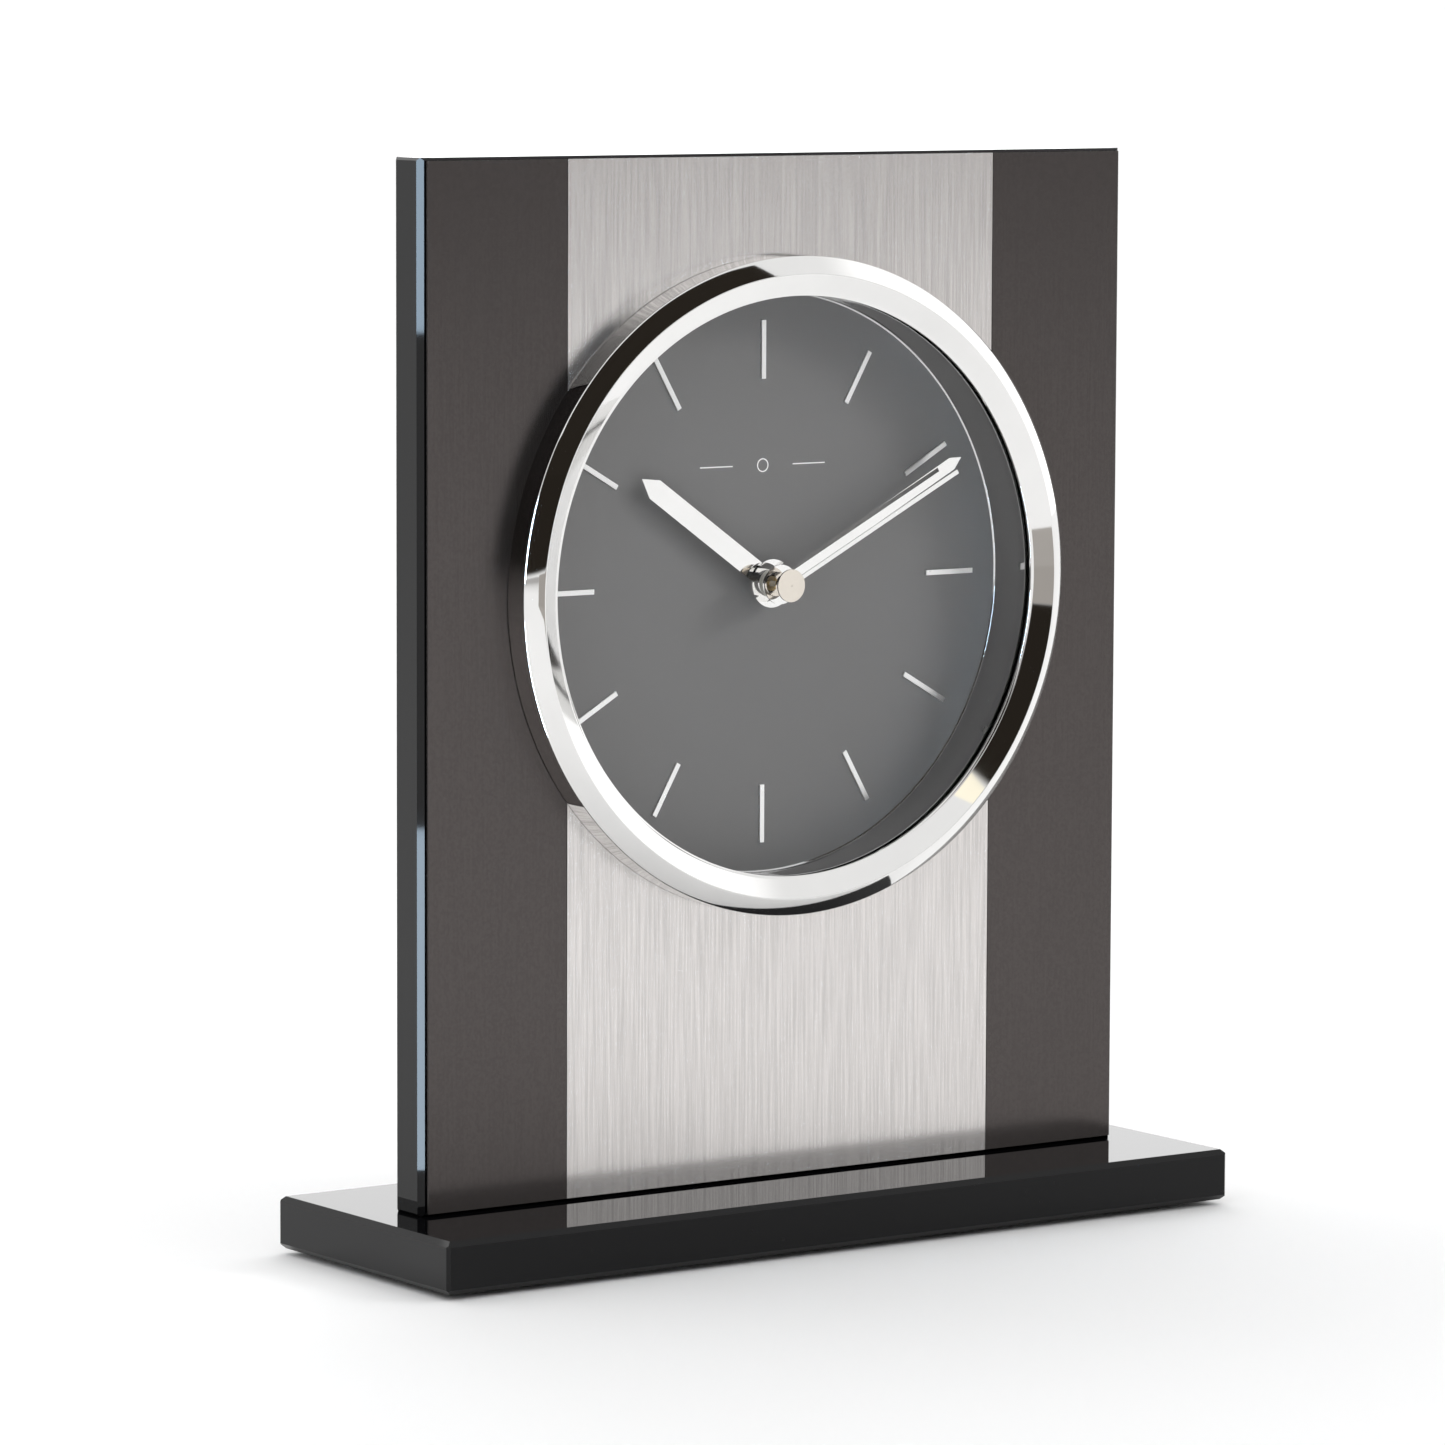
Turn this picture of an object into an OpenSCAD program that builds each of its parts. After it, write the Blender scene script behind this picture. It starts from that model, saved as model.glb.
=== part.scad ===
// Quartz mantel clock: a glass panel on a glass base, with a round insert clock and its movement.
// Units are millimetres. +X is right seen from the front, the dial faces -Y, +Z is up.
// The origin is at the middle of the footprint, on the surface that the feet stand on.

/* [Base] */
// Width of the glass base
base_w = 179; // [172:1:200]
// Depth of the glass base
base_d = 58; // [56:1:80]
// Thickness of the glass base
base_t = 9.8; // [8:0.1:12]
// Polished bevel on the long edges of the base
base_bevel = 1; // [0.6:0.1:1.4]
// Radius of each rubber foot
foot_r = 5; // [4:0.5:6]
// Thickness of each rubber foot
foot_t = 1; // [0.8:0.1:2]

/* [Panel] */
// Width of the upright glass panel
panel_w = 160; // [150:1:165]
// Height of the upright glass panel
panel_h = 192.5; // [185:0.5:205]
// Thickness of the upright glass panel
panel_t = 8.8; // [8.6:0.1:9]
// Polished bevel on the upright edges of the panel
panel_bevel = 1; // [0.6:0.1:1.2]
// Polished bevel on the top and bottom edges of the panel
panel_end_bevel = 0.5; // [0.3:0.1:0.8]
// Height of the dial centre above the base
dial_up = 112; // [104:0.5:116]

/* [Fascia] */
// Width of the pale middle fascia sheet
middle_w = 97; // [80:1:104]
// Thickness of the fascia sheets
fascia_t = 0.5; // [0.4:0.05:0.6]
// Thickness of the adhesive sheet behind the fascia
tape_t = 0.3; // [0.2:0.05:0.4]

/* [Dial and bezel] */
// Outer radius of the bezel
bezel_r = 61.6; // [61.2:0.1:63]
// Inner radius of the bezel lip
lip_r = 54.2; // [54:0.1:54.4]
// Width of each hour marker
marker_w = 0.95; // [0.6:0.05:1.6]
// Radius at which the hour markers start
marker_in = 38.2; // [34:0.2:42]
// Radius at which the hour markers end
marker_out = 49.2; // [46:0.2:52]

/* [Hands] */
// Hour shown at rest
shown_hour = 10; // [0:1:11]
// Minute shown at rest
shown_minute = 10.35; // [0:0.05:59.9]
// Second shown at rest
shown_second = 10.5; // [0:0.5:59.5]
// Length of the hour hand
hour_len = 35.9; // [30:0.1:37]
// Width of the hour hand
hour_w = 4.07; // [3:0.1:4.6]
// Length of the minute hand
minute_len = 47.7; // [42:0.1:50]
// Width of the minute hand
minute_w = 2.48; // [2:0.1:3]
// Length of the seconds hand
second_len = 43.8; // [38:0.1:48]
// Width of the seconds hand
second_w = 0.8; // [0.6:0.05:1]

/* [Movement] */
// Width and height of the movement case
case_w = 56; // [55.6:0.2:58]
// Radius of the setting knob
knob_r = 5; // [4:0.25:6]

/* [Hidden] */
$fn = 96;
eps = 0.01;

// Levels along Y, front to back
glass_y = -4.9;
tape_y = glass_y - tape_t;
fascia_y = tape_y - fascia_t;
glass_back_y = glass_y + panel_t;
bezel_front_y = -13.25;
lip_y = -10.65;
lens_y = -10.35;
lens_t = 1.2;
dial_y = 1.05;
dial_t = 0.8;
dial_back_y = dial_y + dial_t;
floor_y = 4.6;
housing_back_y = 6.2;
cover_y = 7;
inner_y = 8.2;
case_floor_y = 21.3;
case_back_y = 22.5;

// Heights
base_z = foot_t;
base_top_z = foot_t + base_t;
dial_z = base_top_z + dial_up;

// Glass corners
corner_bevel = 0.6;

// Fascia layout
fascia_side = 0.3;
fascia_end = 0.05;
fascia_gap = 0.15;
fascia_w = panel_w - 2 * (panel_bevel + fascia_side);
fascia_h = panel_h - 2 * (panel_end_bevel + fascia_end);
fascia_z = base_top_z + panel_end_bevel + fascia_end;
tape_inset = 0.25;
tape_hole_r = 57.4;
fascia_hole_r = 57.2;
hole_r = 57;

// Insert
tube_r = 56.7;
tube_in_r = 55.65;
flange_r = 60.5;
flange_y = 4.3;
dial_r = 55.5;
wall_front_r = 54.25;
wall_back_r = 54.8;
seat_r = 53;
dial_hole_r = 2.9;
neck_r = 4;
neck_front_y = 1.95;

// Fixing nut and washers
nut_across_flats = 11;
nut_y = 2.2;
washer_y = 4.1;

// Arbors and running clearances
play = 0.06;
arbor_r = 0.5;
minute_tube_r = 1.4;
hour_pipe_r = 2.5;
stud_r = 0.8;
knob_shaft_r = 1;
pivot_front_y = 7.8;
pivot_back_y = 20.7;
post_front_y = 19.6;

// Hands: levels of each hub, measured along Y
hour_hub_y = 0.55;
hour_blade_y = -1.85;
hour_face_y = -2.25;
minute_hub_y = -2.85;
minute_blade_y = -4.75;
minute_face_y = -5.05;
second_hub_y = -6.55;
second_blade_y = -8;
second_disc_y = -8.1;
second_face_y = -8.45;
blade_t = 0.4;
second_blade_t = 0.25;
hour_boss_r = 4.55;
minute_boss_r = 3.72;
second_disc_r = 3.07;
tip_len = 3.5;
minute_tip_len = 2.5;

// Teeth
rotor_teeth = 6;
step_wheel_teeth = 30;
step_pinion_teeth = 7;
second_wheel_teeth = 42;
second_pinion_teeth = 6;
third_wheel_teeth = 45;
third_pinion_teeth = 6;
centre_wheel_teeth = 48;
cannon_teeth = 8;
minute_wheel_teeth = 24;
minute_pinion_teeth = 8;
hour_wheel_teeth = 32;
knob_teeth = 8;

// Axle positions in the movement, as [right, up] from the dial centre
centre_pos = [0, 0];
third_pos = polar(9, 150);
minute_wheel_pos = polar(8, 30);
step_pos = polar(9.1, 80);
rotor_pos = step_pos + polar(6.7, 60);
knob_pos = minute_wheel_pos + polar(8, -30);

// Modules from the axle distances
rotor_mod = tooth_module(rotor_pos, step_pos, rotor_teeth, step_wheel_teeth);
step_mod = tooth_module(step_pos, centre_pos, step_pinion_teeth, second_wheel_teeth);
second_mod = tooth_module(centre_pos, third_pos, second_pinion_teeth, third_wheel_teeth);
third_mod = tooth_module(third_pos, centre_pos, third_pinion_teeth, centre_wheel_teeth);
cannon_mod = tooth_module(centre_pos, minute_wheel_pos, cannon_teeth, minute_wheel_teeth);
hour_mod = tooth_module(minute_wheel_pos, centre_pos, minute_pinion_teeth, hour_wheel_teeth);

// Turn of each toothed part that puts it in mesh at rest
step_turn = mesh_turn(centre_pos, step_pos, 0, second_wheel_teeth, step_pinion_teeth);
rotor_turn = mesh_turn(step_pos, rotor_pos, step_turn, step_wheel_teeth, rotor_teeth);
third_turn = mesh_turn(centre_pos, third_pos, 0, second_pinion_teeth, third_wheel_teeth);
centre_turn = mesh_turn(third_pos, centre_pos, third_turn, third_pinion_teeth, centre_wheel_teeth);
minute_turn = mesh_turn(centre_pos, minute_wheel_pos, centre_turn, cannon_teeth,
                        minute_wheel_teeth);
hour_turn = mesh_turn(minute_wheel_pos, centre_pos, minute_turn, minute_pinion_teeth,
                      hour_wheel_teeth);
knob_turn = mesh_turn(minute_wheel_pos, knob_pos, minute_turn, minute_wheel_teeth, knob_teeth);

// Movement layout
case_wall = 1.2;
bay_top_z = -12.2;
gear_floor_z = -11;
bay_front_y = 7.8;
battery_r = 7;
battery_pos_y = 15;
battery_pos_z = -19.5;
battery_left_x = -24.9;
battery_body_len = 49.2;
battery_nub_len = 1.3;
battery_nub_r = 2.6;
coil_z = 23;
coil_y = 18;
coil_left_x = -14.5;
coil_right_x = 5.5;
screw_spots = [[-24.2, 24.2], [24.2, -8.2]];

// ---------- Helpers ----------

function polar(r, a) = [r * cos(a), r * sin(a)];

function distance(a, b) = norm(b - a);

// Direction from a to b as seen along the dial axis, where up is drawn as -Y
function heading(a, b) = atan2(a[1] - b[1], b[0] - a[0]);

function tooth_module(a, b, za, zb) = 2 * distance(a, b) / (za + zb);

// Turn of the gear at b, so that its teeth sit in the gaps of the gear at a
function mesh_turn(a, b, turn_a, za, zb) =
    heading(a, b) + 180 - (180 - (heading(a, b) - turn_a) * za) / zb;

// Outline of a gear, with each tooth as four points
function gear_points(z, m, add, root_half, tip_half) =
    let (rr = m * (z / 2 - 1.22), rt = m * (z / 2 + add), p = 360 / z)
    [for (i = [0 : z - 1], k = [0 : 3])
        polar(k == 0 || k == 3 ? rr : rt, p * (i + [-root_half, -tip_half, tip_half, root_half][k]))];

// Draws along the dial axis: Z runs from the front to the back of the clock
module on_dial_axis() {
    translate([0, 0, dial_z])
        rotate([-90, 0, 0])
            children();
}

// Moves to a spot in the movement
module at(p) {
    translate([p[0], -p[1], 0])
        children();
}

// Cylinder between two levels
module disc(r, y0, y1) {
    translate([0, 0, y0])
        cylinder(r = r, h = y1 - y0);
}

module ring(r_out, r_in, y0, y1) {
    difference() {
        disc(r_out, y0, y1);
        disc(r_in, y0 - eps, y1 + eps);
    }
}

// Block between two levels, given its left, bottom, right and top
module block(x0, z0, x1, z1, y0, y1) {
    translate([x0, -z1, y0])
        cube([x1 - x0, z1 - z0, y1 - y0]);
}

module wheel_teeth(z, m, y0, y1) {
    translate([0, 0, y0])
        linear_extrude(height = y1 - y0)
            polygon(gear_points(z, m, 0.8, 0.29, 0.11));
}

module pinion_teeth(z, m, y0, y1) {
    translate([0, 0, y0])
        linear_extrude(height = y1 - y0)
            polygon(gear_points(z, m, 0.8, 0.22, 0.08));
}

module bevelled_rectangle(w, d, b) {
    polygon([
        [-w / 2 + b, -d / 2], [w / 2 - b, -d / 2], [w / 2, -d / 2 + b], [w / 2, d / 2 - b],
        [w / 2 - b, d / 2], [-w / 2 + b, d / 2], [-w / 2, d / 2 - b], [-w / 2, -d / 2 + b]
    ]);
}

// Glass slab with flat polished bevels, centred on X and Y, standing on Z = 0
module bevelled_slab(w, d, h, edge_bevel, upright_bevel) {
    intersection() {
        linear_extrude(height = h)
            bevelled_rectangle(w, d, upright_bevel);
        translate([0, d / 2, h / 2])
            rotate([90, 0, 0])
                linear_extrude(height = d)
                    bevelled_rectangle(w, h, edge_bevel);
        translate([-w / 2, 0, h / 2])
            rotate([90, 0, 90])
                linear_extrude(height = w)
                    bevelled_rectangle(d, h, edge_bevel);
    }
}

// ---------- Stand and panel ----------

module base_plate() {
    color([0.02, 0.02, 0.025])
        translate([0, 0, base_z])
            bevelled_slab(base_w, base_d, base_t, base_bevel, corner_bevel);
}

module feet() {
    foot_x = base_w / 2 - 13;
    foot_y = base_d / 2 - 10;
    color([0.08, 0.08, 0.08])
        for (sx = [-1, 1], sy = [-1, 1])
            translate([sx * foot_x, sy * foot_y, 0])
                cylinder(r = foot_r, h = foot_t);
}

module back_panel() {
    color([0.02, 0.02, 0.025])
        difference() {
            translate([0, glass_y + panel_t / 2, base_top_z])
                bevelled_slab(panel_w, panel_t, panel_h, panel_end_bevel, panel_bevel);
            on_dial_axis()
                disc(hole_r, glass_y - 1, glass_back_y + 1);
        }
}

// Sheet glued flat on the panel, with the round opening cut out of it
module sheet(x0, x1, z0, h, y0, t, cut_r) {
    difference() {
        translate([x0, y0, z0])
            cube([x1 - x0, t, h]);
        on_dial_axis()
            disc(cut_r, y0 - 1, y0 + t + 1);
    }
}

module fascia_tape() {
    w = fascia_w - 2 * tape_inset;
    color([0.03, 0.03, 0.03])
        sheet(-w / 2, w / 2, fascia_z + tape_inset, fascia_h - 2 * tape_inset, tape_y, tape_t,
              tape_hole_r);
}

module left_fascia() {
    color([0.25, 0.23, 0.22])
        sheet(-fascia_w / 2, -(middle_w + fascia_gap) / 2, fascia_z, fascia_h, fascia_y, fascia_t,
              fascia_hole_r);
}

// The opening parts the pale sheet into one piece above the dial and one below it
module upper_fascia() {
    w = middle_w - fascia_gap;
    color([0.78, 0.77, 0.75])
        sheet(-w / 2, w / 2, dial_z, fascia_z + fascia_h - dial_z, fascia_y, fascia_t,
              fascia_hole_r);
}

module lower_fascia() {
    w = middle_w - fascia_gap;
    color([0.78, 0.77, 0.75])
        sheet(-w / 2, w / 2, fascia_z, dial_z - fascia_z, fascia_y, fascia_t, fascia_hole_r);
}

module right_fascia() {
    color([0.25, 0.23, 0.22])
        sheet((middle_w + fascia_gap) / 2, fascia_w / 2, fascia_z, fascia_h, fascia_y, fascia_t,
              fascia_hole_r);
}

// ---------- Insert ----------

module bezel() {
    skirt_t = 0.9;
    collar_in_r = tube_r + 0.05;
    collar_out_r = collar_in_r + 0.75;
    collar_y = -6.2;
    ridge_r = 58.3;
    shoulder_y = -11.2;
    color([0.85, 0.85, 0.86])
        on_dial_axis()
            rotate_extrude()
                polygon([
                    [bezel_r, fascia_y], [bezel_r, shoulder_y], [bezel_r - 0.1, shoulder_y - 0.32],
                    [bezel_r - 0.4, shoulder_y - 0.55], [ridge_r, bezel_front_y],
                    [lip_r + 0.55, -11.2], [lip_r + 0.15, -11.14], [lip_r, -11], [lip_r, lip_y],
                    [collar_in_r, lip_y], [collar_in_r, collar_y], [collar_out_r, collar_y],
                    [collar_out_r, lip_y - 0.5], [ridge_r, bezel_front_y + 1.1],
                    [bezel_r - skirt_t, shoulder_y + 0.4], [bezel_r - skirt_t, fascia_y]
                ]);
}

module lens_gasket() {
    color([0.05, 0.05, 0.05])
        on_dial_axis()
            ring(tube_in_r - 0.05, lip_r + 0.4, lip_y, lens_y);
}

module lens() {
    color([0.8, 0.85, 0.88, 0.25])
        on_dial_axis()
            disc(tube_in_r - 0.05, lens_y, lens_y + lens_t);
}

module reflector() {
    color([0.85, 0.85, 0.86])
        on_dial_axis()
            rotate_extrude()
                polygon([
                    [wall_front_r, lens_y + lens_t], [dial_r, lens_y + lens_t],
                    [dial_r, dial_y], [wall_back_r, dial_y]
                ]);
}

module dial() {
    color([0.42, 0.42, 0.42])
        on_dial_axis()
            ring(dial_r, dial_hole_r, dial_y, dial_back_y);
}

// Two fine lines and a small ring, as a plain ornament
module dial_print() {
    print_t = 0.05;
    line_up = 22;
    line_w = 0.22;
    line_in = 6.9;
    line_out = 14.3;
    ring_up = 22;
    ring_r = 1.3;
    color([0.85, 0.85, 0.85])
        on_dial_axis() {
            for (side = [-1, 1])
                translate([side * (line_in + line_out) / 2, -line_up, dial_y - print_t / 2])
                    cube([line_out - line_in, line_w, print_t], center = true);
            translate([0, -ring_up, 0])
                ring(ring_r, ring_r - line_w, dial_y - print_t, dial_y);
        }
}

module hour_markers() {
    marker_t = 0.3;
    color([0.85, 0.85, 0.86])
        on_dial_axis()
            for (i = [0 : 11])
                rotate([0, 0, i * 30])
                    translate([-marker_w / 2, -marker_out, dial_y - marker_t])
                        cube([marker_w, marker_out - marker_in, marker_t]);
}

module insert_housing() {
    tube_front_y = -9.9;
    neck_hole_r = neck_r + 0.3;
    color([0.07, 0.07, 0.07])
        on_dial_axis()
            rotate_extrude()
                polygon([
                    [neck_hole_r, floor_y], [seat_r, floor_y], [seat_r, dial_back_y],
                    [tube_in_r, dial_back_y], [tube_in_r, tube_front_y], [tube_r, tube_front_y],
                    [tube_r, flange_y], [flange_r, flange_y], [flange_r, housing_back_y],
                    [neck_hole_r, housing_back_y]
                ]);
}

module housing_gasket() {
    color([0.05, 0.05, 0.05])
        on_dial_axis()
            ring(flange_r - 0.5, hole_r + 0.3, glass_back_y, flange_y);
}

// ---------- Hands ----------

// Flat hand with a pencil tip, pointing up the dial
module pencil_blade(len, w, tip, y0, t) {
    translate([0, 0, y0])
        linear_extrude(height = t)
            polygon([
                [-w / 2, 0], [w / 2, 0], [w / 2, -(len - tip)], [0, -len], [-w / 2, -(len - tip)]
            ]);
}

module hour_hand() {
    turn = 30 * (shown_hour + shown_minute / 60);
    hub_r = 3.4;
    color([0.85, 0.85, 0.86])
        on_dial_axis()
            rotate([0, 0, turn])
                difference() {
                    union() {
                        disc(hub_r, hour_blade_y, hour_hub_y);
                        disc(hour_boss_r, hour_face_y, hour_blade_y);
                        pencil_blade(hour_len, hour_w, tip_len, hour_blade_y, blade_t);
                    }
                    disc(hour_pipe_r, hour_face_y - 1, hour_hub_y + 1);
                }
}

module minute_hand() {
    turn = 6 * shown_minute;
    hub_r = 2.6;
    color([0.85, 0.85, 0.86])
        on_dial_axis()
            rotate([0, 0, turn])
                difference() {
                    union() {
                        disc(hub_r, minute_blade_y, minute_hub_y);
                        disc(minute_boss_r, minute_face_y, minute_blade_y);
                        pencil_blade(minute_len, minute_w, minute_tip_len, minute_blade_y, blade_t);
                    }
                    disc(minute_tube_r, minute_face_y - 1, minute_hub_y + 1);
                }
}

module seconds_hand() {
    turn = 6 * shown_second;
    hub_r = 2.3;
    dot_r = 0.18;
    bore_end_y = -7.9;
    color([0.85, 0.84, 0.8])
        on_dial_axis()
            rotate([0, 0, turn])
                difference() {
                    union() {
                        disc(hub_r, second_disc_y, second_hub_y);
                        disc(second_disc_r, second_face_y, second_disc_y);
                        translate([-second_w / 2, -second_len, second_blade_y])
                            cube([second_w, second_len, second_blade_t]);
                    }
                    disc(arbor_r, bore_end_y, second_hub_y + 1);
                    disc(dot_r, second_face_y - 1, second_face_y + 0.1);
                }
}

// ---------- Movement: fixings and case ----------

module fixing_nut() {
    color([0.75, 0.6, 0.3])
        on_dial_axis()
            difference() {
                translate([0, 0, nut_y])
                    cylinder(r = nut_across_flats / 2 / cos(30), h = washer_y - nut_y, $fn = 6);
                disc(neck_r, nut_y - 1, washer_y + 1);
            }
}

module flat_washer() {
    color([0.75, 0.6, 0.3])
        on_dial_axis()
            ring(7.5, neck_r + 0.1, washer_y, floor_y);
}

module rubber_washer() {
    color([0.05, 0.05, 0.05])
        on_dial_axis()
            ring(8.5, neck_r + 0.3, housing_back_y, cover_y);
}

// Square with round corners, cut off level at the bottom where the battery bay starts
module case_outline(y0, y1) {
    half = case_w / 2;
    corner_r = 3;
    block(-half, -half + corner_r, half, half - corner_r, y0, y1);
    block(-half + corner_r, -half, half - corner_r, half, y0, y1);
    for (sx = [-1, 1], sz = [-1, 1])
        at([sx * (half - corner_r), sz * (half - corner_r)])
            disc(corner_r, y0, y1);
}

module movement_cover() {
    half = case_w / 2;
    color([0.85, 0.85, 0.83])
        on_dial_axis()
            difference() {
                union() {
                    intersection() {
                        case_outline(cover_y, inner_y);
                        block(-half, gear_floor_z, half, half, cover_y, inner_y);
                    }
                    disc(neck_r, neck_front_y, inner_y);
                    at(minute_wheel_pos)
                        disc(stud_r, inner_y - 0.2, 10.6);
                }
                disc(hour_pipe_r + play, neck_front_y - 1, inner_y + 1);
                for (p = [third_pos, step_pos, rotor_pos])
                    at(p)
                        disc(arbor_r + play, pivot_front_y - 0.2, inner_y + 1);
                at(knob_pos)
                    disc(knob_shaft_r + play, pivot_front_y - 0.2, inner_y + 1);
                for (p = screw_spots)
                    at(p)
                        disc(0.9, cover_y - 1, inner_y + 1);
            }
}

// Bearing post on the floor of the case
module bearing_post(p) {
    at(p)
        disc(1.6, post_front_y, case_floor_y + eps);
}

module movement_case() {
    half = case_w / 2;
    inner = half - case_wall;
    screw_hole_end_y = 13;
    color([0.06, 0.06, 0.06])
        on_dial_axis()
            difference() {
                union() {
                    difference() {
                        case_outline(cover_y, case_back_y);
                        block(-half - 1, gear_floor_z, half + 1, half + 1, cover_y - 1, inner_y);
                        block(-inner, gear_floor_z, inner, inner, cover_y, case_floor_y);
                        block(-inner, -inner, inner, bay_top_z, bay_front_y, case_back_y + 1);
                    }
                    for (p = [centre_pos, third_pos, step_pos])
                        bearing_post(p);
                    at(rotor_pos)
                        disc(1.6, 19, case_floor_y + eps);
                    for (p = [[-18, 14.4], [9.2, 18.6]])
                        at(p)
                            disc(1.2, 17.6, case_floor_y + eps);
                    for (p = [[-22, -6], [-22, 7]])
                        at(p)
                            disc(1, 19.4, case_floor_y + eps);
                    for (p = screw_spots)
                        at(p)
                            disc(2.2, inner_y, case_floor_y + eps);
                }
                for (p = [centre_pos, third_pos, step_pos, rotor_pos])
                    at(p)
                        disc(arbor_r + play, post_front_y - 1, pivot_back_y + 0.2);
                at(knob_pos)
                    disc(knob_shaft_r + play, case_floor_y - 1, case_back_y + 1);
                for (p = screw_spots)
                    at(p)
                        disc(0.75, inner_y - 1, screw_hole_end_y);
            }
}

module movement_screws() {
    head_r = 1.5;
    head_y = 6.4;
    shank_end_y = 12;
    color([0.7, 0.7, 0.7])
        on_dial_axis()
            for (p = screw_spots)
                at(p)
                    difference() {
                        union() {
                            disc(head_r, head_y, cover_y);
                            disc(0.75, cover_y - eps, shank_end_y);
                        }
                        translate([-2, -0.15, head_y - 1])
                            cube([4, 0.3, 1.3]);
                    }
}

// ---------- Movement: wheels ----------

module hour_wheel() {
    color([0.9, 0.9, 0.88])
        on_dial_axis()
            difference() {
                union() {
                    rotate([0, 0, hour_turn])
                        wheel_teeth(hour_wheel_teeth, hour_mod, 8.6, 9.3);
                    disc(hour_pipe_r, hour_face_y, 9.3);
                }
                disc(minute_tube_r + play, hour_face_y - 1, 9.3 + 1);
            }
}

module centre_wheel() {
    color([0.8, 0.65, 0.35])
        on_dial_axis()
            rotate([0, 0, centre_turn])
                difference() {
                    union() {
                        wheel_teeth(centre_wheel_teeth, third_mod, 10.9, 11.5);
                        pinion_teeth(cannon_teeth, cannon_mod, 9.6, 10.4);
                        disc(minute_tube_r, minute_face_y, 11.9);
                    }
                    disc(arbor_r + play, minute_face_y - 1, 11.9 + 1);
                }
}

module seconds_wheel() {
    color([0.9, 0.9, 0.88])
        on_dial_axis() {
            wheel_teeth(second_wheel_teeth, step_mod, 13.6, 14.2);
            pinion_teeth(second_pinion_teeth, second_mod, 12.2, 13.6 + eps);
            disc(arbor_r, -7.9, pivot_back_y);
        }
}

module third_wheel() {
    color([0.9, 0.9, 0.88])
        on_dial_axis()
            at(third_pos)
                rotate([0, 0, third_turn]) {
                    wheel_teeth(third_wheel_teeth, second_mod, 12.3, 12.9);
                    pinion_teeth(third_pinion_teeth, third_mod, 10.8, 12.3 + eps);
                    disc(arbor_r, pivot_front_y, pivot_back_y);
                }
}

module minute_wheel() {
    color([0.9, 0.9, 0.88])
        on_dial_axis()
            at(minute_wheel_pos)
                rotate([0, 0, minute_turn])
                    difference() {
                        union() {
                            wheel_teeth(minute_wheel_teeth, cannon_mod, 9.7, 10.3);
                            pinion_teeth(minute_pinion_teeth, hour_mod, 8.5, 9.7 + eps);
                        }
                        disc(stud_r + play, 8, 11);
                    }
}

module step_wheel() {
    color([0.9, 0.9, 0.88])
        on_dial_axis()
            at(step_pos)
                rotate([0, 0, step_turn]) {
                    wheel_teeth(step_wheel_teeth, rotor_mod, 14.8, 15.4);
                    pinion_teeth(step_pinion_teeth, step_mod, 13.5, 14.8 + eps);
                    disc(arbor_r, pivot_front_y, pivot_back_y);
                }
}

module rotor() {
    magnet_r = 3;
    color([0.35, 0.35, 0.37])
        on_dial_axis()
            at(rotor_pos)
                rotate([0, 0, rotor_turn]) {
                    pinion_teeth(rotor_teeth, rotor_mod, 14.7, 16.2 + eps);
                    disc(magnet_r, 16.2, 18.2);
                    disc(arbor_r, pivot_front_y, pivot_back_y);
                }
}

module setting_knob() {
    knob_y = 22.8;
    knob_t = 2.8;
    grip_count = 16;
    grip_r = 0.45;
    color([0.12, 0.12, 0.12])
        on_dial_axis()
            at(knob_pos)
                rotate([0, 0, knob_turn]) {
                    pinion_teeth(knob_teeth, cannon_mod, 9.6, 10.4);
                    disc(knob_shaft_r, pivot_front_y, knob_y + eps);
                    difference() {
                        disc(knob_r, knob_y, knob_y + knob_t);
                        for (i = [0 : grip_count - 1])
                            rotate([0, 0, i * 360 / grip_count])
                                translate([knob_r, 0, 0])
                                    disc(grip_r, knob_y - 1, knob_y + knob_t + 1);
                    }
                }
}

// ---------- Movement: motor and circuit ----------

module stator() {
    rotor_hole_r = 3.4;
    color([0.6, 0.6, 0.62])
        on_dial_axis()
            difference() {
                union() {
                    block(-20, 12.4, rotor_pos[0], 17, 16.8, 17.6);
                    block(-20, 12.4, -16, 25.4, 16.8, 17.6);
                    block(7.2, rotor_pos[1], 11.2, 25.4, 16.8, 17.6);
                    block(rotor_pos[0], rotor_pos[1] - 1.5, 11.2, rotor_pos[1] + 1.5, 16.8, 17.6);
                    at(rotor_pos)
                        disc(4.5, 16.8, 17.6);
                }
                at(rotor_pos)
                    disc(rotor_hole_r, 16, 18);
            }
}

module coil_core() {
    color([0.55, 0.55, 0.57])
        on_dial_axis()
            block(-20, coil_z - 1.2, 11.2, coil_z + 1.2, 17.6, 18.4);
}

// Draws along the coil, from left to right
module on_coil() {
    translate([0, coil_y, dial_z + coil_z])
        rotate([0, 90, 0])
            children();
}

module coil_bobbin() {
    core_r = 1.75;
    flange = 3.2;
    flange_t = 0.8;
    color([0.9, 0.9, 0.85])
        difference() {
            on_coil() {
                translate([0, 0, coil_left_x])
                    cylinder(r = core_r, h = coil_right_x - coil_left_x);
                translate([0, 0, coil_left_x])
                    cylinder(r = flange, h = flange_t);
                translate([0, 0, coil_right_x - flange_t])
                    cylinder(r = flange, h = flange_t);
            }
            on_dial_axis()
                block(-20, coil_z - 1.2, 11.2, coil_z + 1.2, 17.6, 18.4);
        }
}

module coil_winding() {
    flange_t = 0.8;
    color([0.72, 0.35, 0.15])
        on_coil()
            translate([0, 0, coil_left_x + flange_t])
                difference() {
                    cylinder(r = 3, h = coil_right_x - coil_left_x - 2 * flange_t);
                    translate([0, 0, -1])
                        cylinder(r = 1.75, h = coil_right_x - coil_left_x + 2);
                }
}

module circuit_board() {
    color([0.1, 0.35, 0.2])
        on_dial_axis()
            block(-26, -9, -17.5, 10, 18.4, 19.4);
}

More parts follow.
